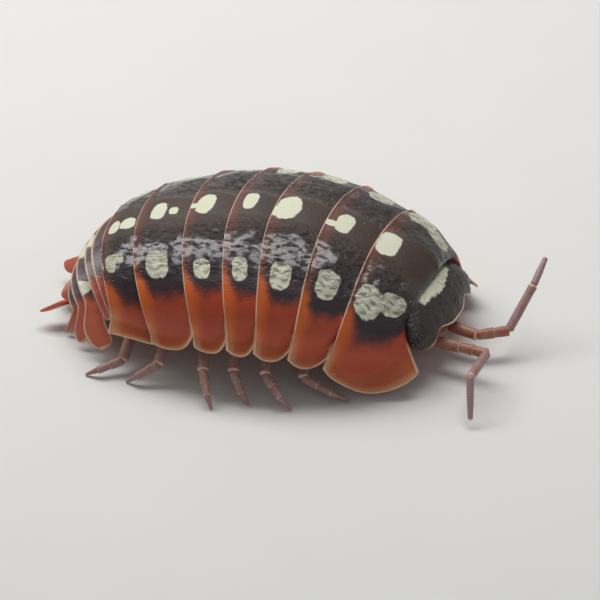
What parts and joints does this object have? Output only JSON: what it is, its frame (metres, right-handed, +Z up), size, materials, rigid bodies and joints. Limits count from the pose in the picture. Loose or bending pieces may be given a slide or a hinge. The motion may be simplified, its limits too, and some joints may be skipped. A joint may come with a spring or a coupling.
{
  "type": "woodlouse",
  "caption": "Woodlouse standing still: domed, overlapping spotted shell plates from head to tail, two bent feelers, short legs under the rims.",
  "frame": {"origin": "centre of the whole animal's footprint box, on the floor that its claws stand on", "axes": "+X towards the head, +Y to the animal's left, +Z up"},
  "size_m": [0.0182, 0.0111, 0.0049],
  "materials": {
    "shell": "satin",
    "limb": "satin",
    "eye": "gloss"
  },
  "bodies": {
    "root": {"head": "shell", "pereonite_1": "shell", "pereonite_2": "shell", "pereonite_3": "shell", "pereonite_4": "shell", "pereonite_5": "shell", "pereonite_6": "shell", "pereonite_7": "shell", "pleon": "shell", "telson": "shell", "uropod_left": "shell", "uropod_right": "shell", "eye_left": "eye", "eye_right": "eye", "antenna_left_base": "limb", "antenna_left_middle": "limb", "antenna_left_tip": "limb", "antenna_right_base": "limb", "antenna_right_middle": "limb", "antenna_right_tip": "limb", "leg_left_1": "limb", "leg_left_2": "limb", "leg_left_3": "limb", "leg_left_4": "limb", "leg_left_5": "limb", "leg_left_6": "limb", "leg_left_7": "limb", "leg_right_1": "limb", "leg_right_2": "limb", "leg_right_3": "limb", "leg_right_4": "limb", "leg_right_5": "limb", "leg_right_6": "limb", "leg_right_7": "limb", "mouthparts": "limb"}
  },
  "joints": []
}
